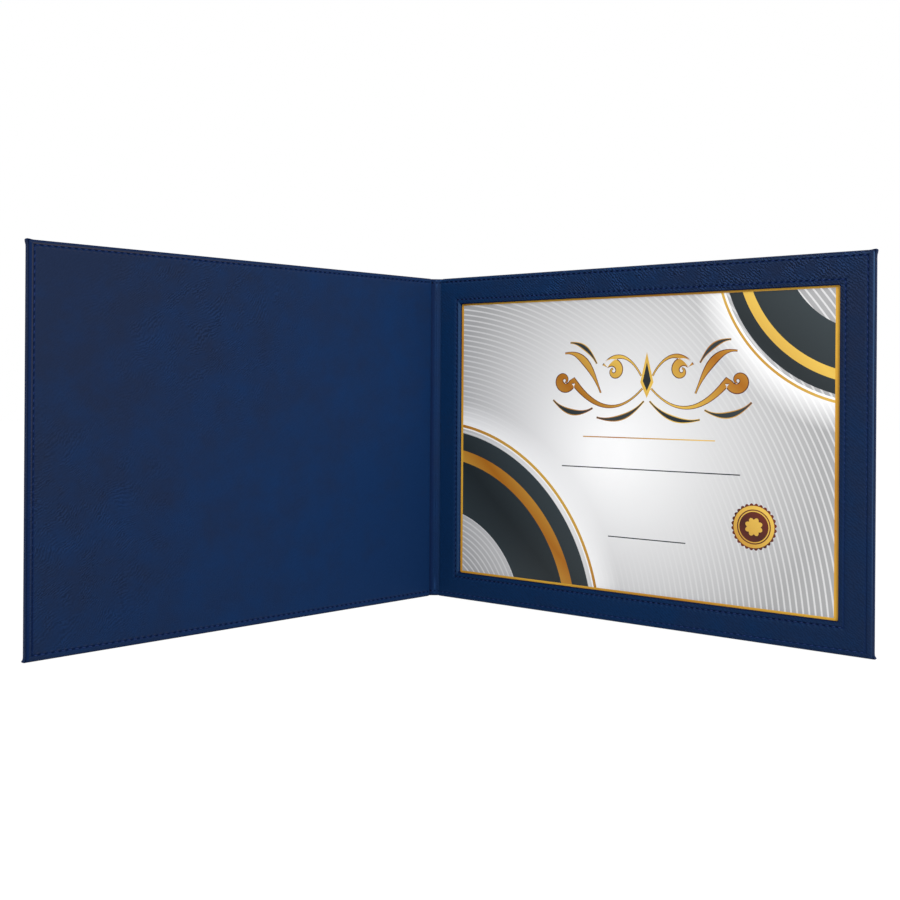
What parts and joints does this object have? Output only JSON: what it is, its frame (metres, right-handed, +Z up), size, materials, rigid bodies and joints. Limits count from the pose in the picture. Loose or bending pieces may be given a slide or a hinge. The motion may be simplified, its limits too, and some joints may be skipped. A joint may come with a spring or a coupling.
{
  "type": "certificate holder",
  "caption": "Stitched leatherette folder that stands open like a book, with a framed window pocket for a printed certificate in one leaf and a plain lined cover leaf.",
  "frame": {"origin": "middle of the footprint's box, on the surface that the holder stands on", "axes": "+Z up, +X along the display leaf from the spine to its fore-edge, +Y out of the back of the display leaf, so the certificate faces -Y"},
  "size_m": [0.3548, 0.3088, 0.2286],
  "materials": {
    "cover_leatherette": "fine-grained navy leatherette, satin",
    "lining_leatherette": "fine-grained navy leatherette, satin",
    "frame_leatherette": "fine-grained navy leatherette, satin",
    "greyboard": "raw grey card",
    "dark_paper": "matt dark lining paper",
    "certificate_paper": "matt printed card",
    "thread": "twisted navy sewing thread"
  },
  "bodies": {
    "display_leaf": {"right_cover": "cover_leatherette", "right_board": "greyboard", "pocket_lining": "dark_paper", "frame_card": "greyboard", "frame_cover": "frame_leatherette", "window_needle_thread": "thread", "window_bobbin_thread": "thread", "right_edge_needle_thread": "thread", "right_edge_bobbin_thread": "thread"},
    "sheet": {"certificate": "certificate_paper"},
    "spine": {"spine_cover": "cover_leatherette", "spine_lining": "lining_leatherette"},
    "cover_leaf": {"left_cover": "cover_leatherette", "left_board": "greyboard", "left_infill": "dark_paper", "left_lining": "lining_leatherette", "left_edge_needle_thread": "thread", "left_edge_bobbin_thread": "thread"}
  },
  "joints": [
    {"name": "spine_fold", "type": "hinge", "parent": "display_leaf", "child": "spine", "pos_m": [-0.12742, 0.15442, 0.1143], "axis": [0, 0, 1], "range_deg": [-41, 49]},
    {"name": "cover_fold", "type": "hinge", "parent": "spine", "child": "cover_leaf", "pos_m": [-0.13496, 0.14786, 0.1143], "axis": [0, 0, 1], "range_deg": [-41, 49]},
    {"name": "certificate_slide", "type": "slide", "parent": "display_leaf", "child": "sheet", "axis": [-1, 0, 0], "range_m": [0, 0.01]}
  ]
}
